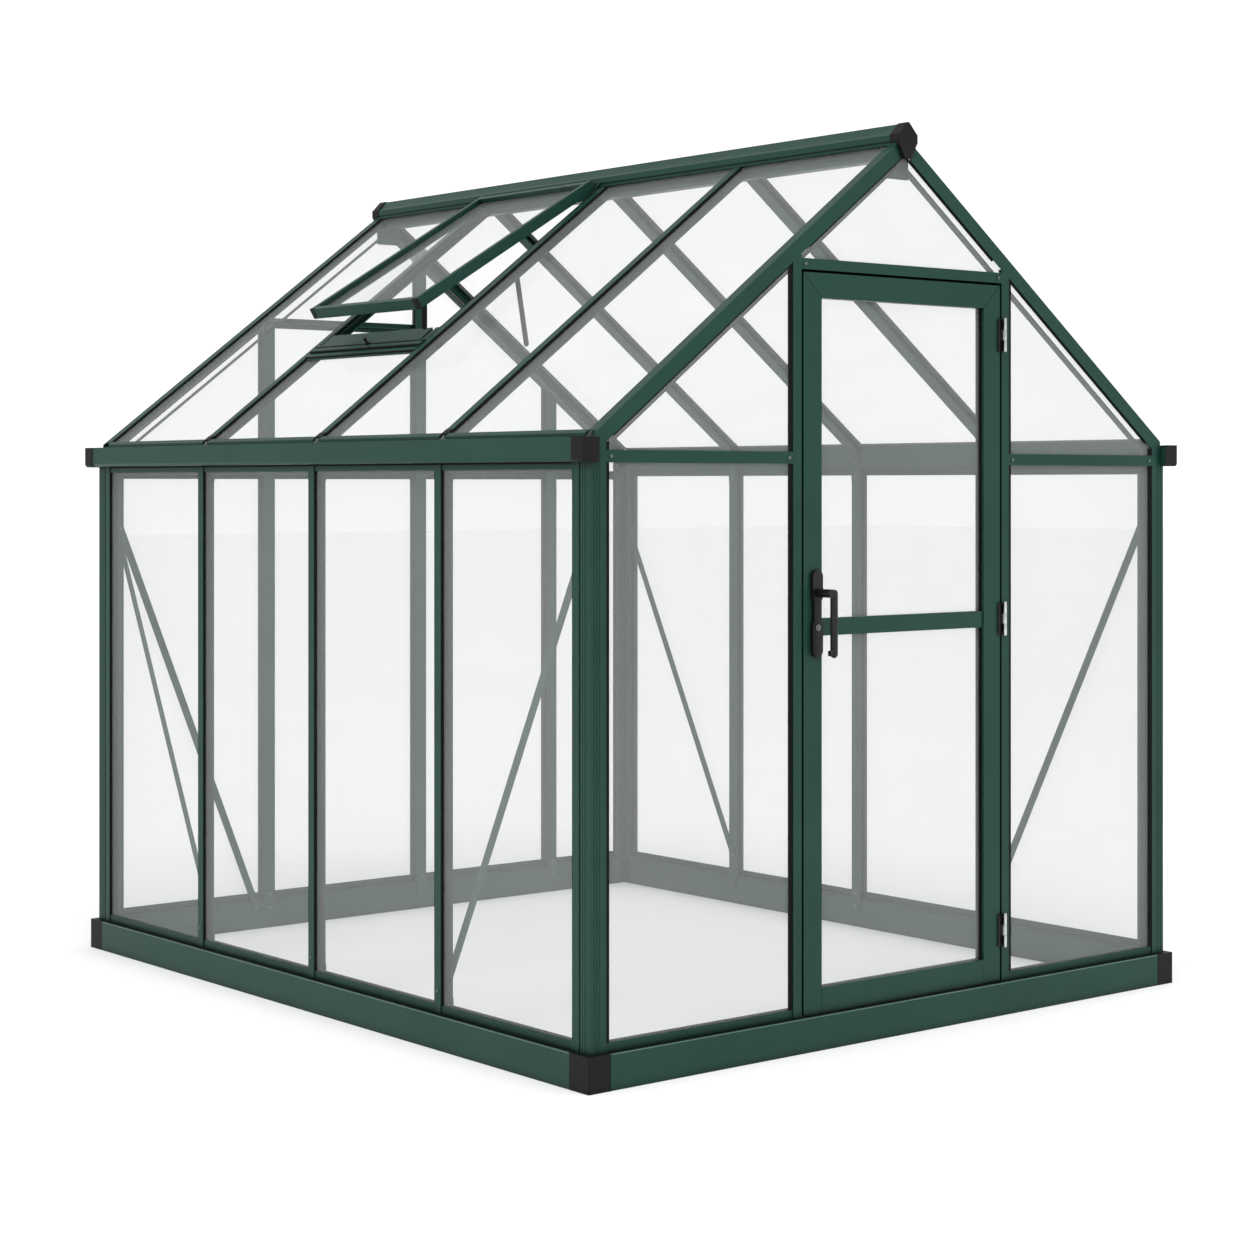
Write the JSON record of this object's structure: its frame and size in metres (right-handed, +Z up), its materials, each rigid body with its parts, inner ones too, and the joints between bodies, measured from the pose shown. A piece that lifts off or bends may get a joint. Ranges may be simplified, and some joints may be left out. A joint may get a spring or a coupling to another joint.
{
  "type": "walk-in greenhouse",
  "caption": "Walk-in gabled garden greenhouse on a base frame, with clear glazed walls and roof, a hinged door with lever latch, a propped roof vent and gutters on both eaves",
  "frame": {"origin": "centre of the footprint at ground level, where the base rails rest", "axes": "+Z up, -Y the door gable, +Y the rear gable, -X the long wall under the roof vent"},
  "size_m": [2.238, 2.592, 2.4418],
  "materials": {
    "green_frame": "satin dark green powder coat on aluminium sections",
    "black_plastic": "matt black moulded plastic",
    "black_metal": "satin black coated door furniture",
    "clear_panel": "clear glazing, faint grey haze",
    "steel": "bright zinc plated"
  },
  "bodies": {
    "frame": {"base_rail_front": "green_frame", "base_rail_rear": "green_frame", "base_rail_left": "green_frame", "base_rail_right": "green_frame", "base_corner_caps": "black_plastic", "corner_post_front_left": "green_frame", "corner_post_front_right": "green_frame", "corner_post_rear_left": "green_frame", "corner_post_rear_right": "green_frame", "side_posts_left": "green_frame", "side_posts_right": "green_frame", "rear_posts": "green_frame", "door_jamb_left": "green_frame", "door_jamb_right": "green_frame", "door_header": "green_frame", "gable_crossbars": "green_frame", "sill_rail_left": "green_frame", "sill_rail_right": "green_frame", "sill_rails_gables": "green_frame", "top_rail_left": "green_frame", "top_rail_right": "green_frame", "gutter_left": "green_frame", "gutter_right": "green_frame", "gutter_end_caps": "black_plastic", "ridge_beam": "green_frame", "ridge_end_caps": "black_plastic", "gable_rafters_front": "green_frame", "gable_rafters_rear": "green_frame", "rafters_left": "green_frame", "rafters_right": "green_frame", "wall_panels_left": "clear_panel", "wall_panels_right": "clear_panel", "gable_panels_front": "clear_panel", "gable_panels_rear": "clear_panel", "roof_panels_left": "clear_panel", "roof_panels_right": "clear_panel", "wall_braces": "green_frame", "gusset_plates": "green_frame", "frame_screws": "steel", "vent_sill": "green_frame", "vent_hinge_pins": "steel", "stay_peg": "black_plastic", "hinge_leaves_jamb": "steel", "hinge_pins": "steel", "strike_plate": "steel"},
    "door": {"door_stiles": "green_frame", "door_rails": "green_frame", "door_panes": "clear_panel", "hinge_leaves_door": "steel", "handle_plates": "black_metal", "latch_case": "steel", "lock_cylinder": "steel"},
    "lever_set": {"handle_levers": "black_metal", "handle_spindle": "steel"},
    "bolt": {"latch_bolt": "steel"},
    "key": {"key_plug": "steel"},
    "sash": {"vent_sash_frame": "green_frame", "vent_pane": "clear_panel"},
    "stay": {"vent_stay": "black_plastic"},
    "arm": {"hook_arm": "black_plastic"}
  },
  "joints": [
    {"name": "door_hinge", "type": "hinge", "parent": "frame", "child": "door", "pos_m": [0.382, -1.245, 1.098], "axis": [0, 0, 1], "range_deg": [0, 110]},
    {"name": "lever_turn", "type": "hinge", "parent": "door", "child": "lever_set", "pos_m": [-0.331, -1.218, 1.188], "axis": [0, 1, 0], "range_deg": [0, 40], "stiffness_Nm_per_rad": 1.5, "springref_deg": -22.92},
    {"name": "bolt_slide", "type": "slide", "parent": "door", "child": "bolt", "axis": [1, 0, 0], "range_m": [0, 0.012]},
    {"name": "key_turn", "type": "hinge", "parent": "door", "child": "key", "pos_m": [-0.331, -1.218, 1.098], "axis": [0, 1, 0], "range_deg": [-90, 90]},
    {"name": "vent_hinge", "type": "hinge", "parent": "frame", "child": "sash", "pos_m": [-0.044, 0.3285, 2.37191], "axis": [0, 1, 0], "range_deg": [-6, 30]},
    {"name": "stay_swing", "type": "hinge", "parent": "sash", "child": "stay", "pos_m": [-0.66108, 0.0703, 2.00287], "axis": [0, 1, 0], "range_deg": [-85, 12]},
    {"name": "arm_swing", "type": "hinge", "parent": "frame", "child": "arm", "pos_m": [-0.348, 0.0448, 2.11354], "axis": [0, 1, 0], "range_deg": [-30, 45]}
  ],
  "couplings": [
    {"joint": "bolt_slide", "follows": "lever_turn", "m_per_rad": 0.01718}
  ]
}
